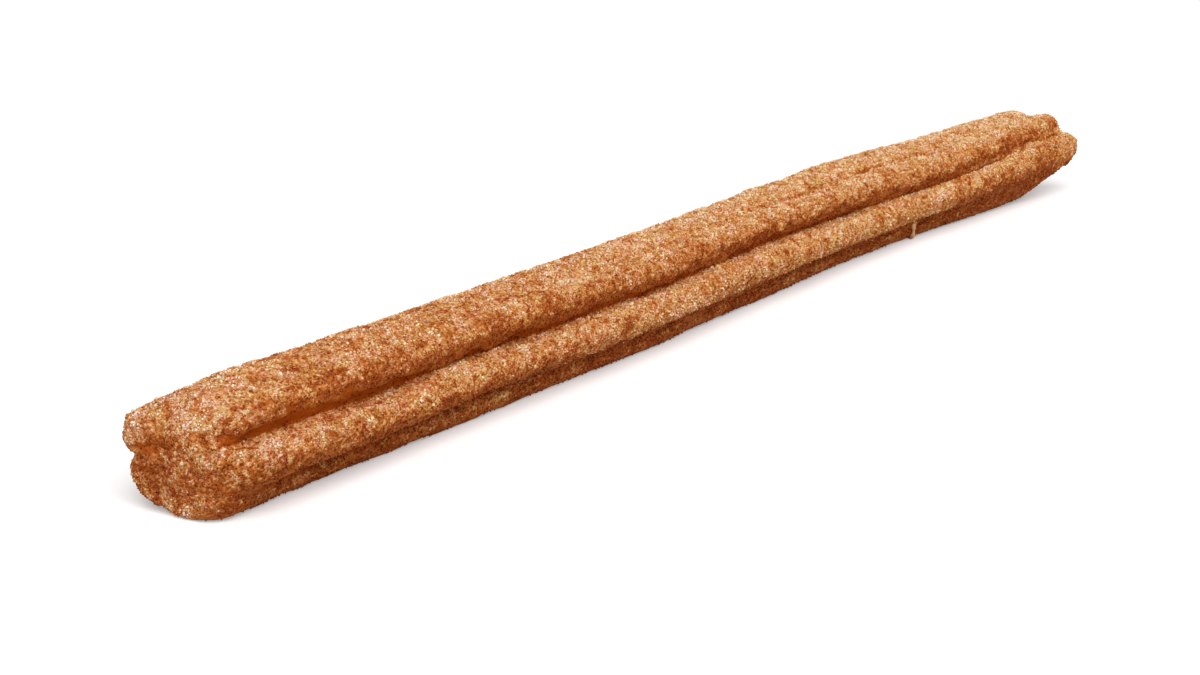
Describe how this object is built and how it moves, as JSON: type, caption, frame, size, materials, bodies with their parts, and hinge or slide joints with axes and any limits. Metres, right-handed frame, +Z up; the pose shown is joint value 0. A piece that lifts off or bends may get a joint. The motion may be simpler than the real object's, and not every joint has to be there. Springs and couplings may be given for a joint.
{
  "type": "churro",
  "caption": "Long straight piped churro with lengthwise ridges and grooves, cut ends, rolled in cinnamon sugar, lying on two of its ridges.",
  "frame": {"origin": "on the plane the stick rests on, under the middle of its box", "axes": "+X along the stick from its near end to its far end, +Z up, -Y the front"},
  "size_m": [0.3558, 0.0318, 0.0264],
  "materials": {
    "sugared_crust": "golden-brown fried dough under a grainy coat of cinnamon sugar"
  },
  "bodies": {
    "root": {"churro": "sugared_crust"}
  },
  "joints": []
}
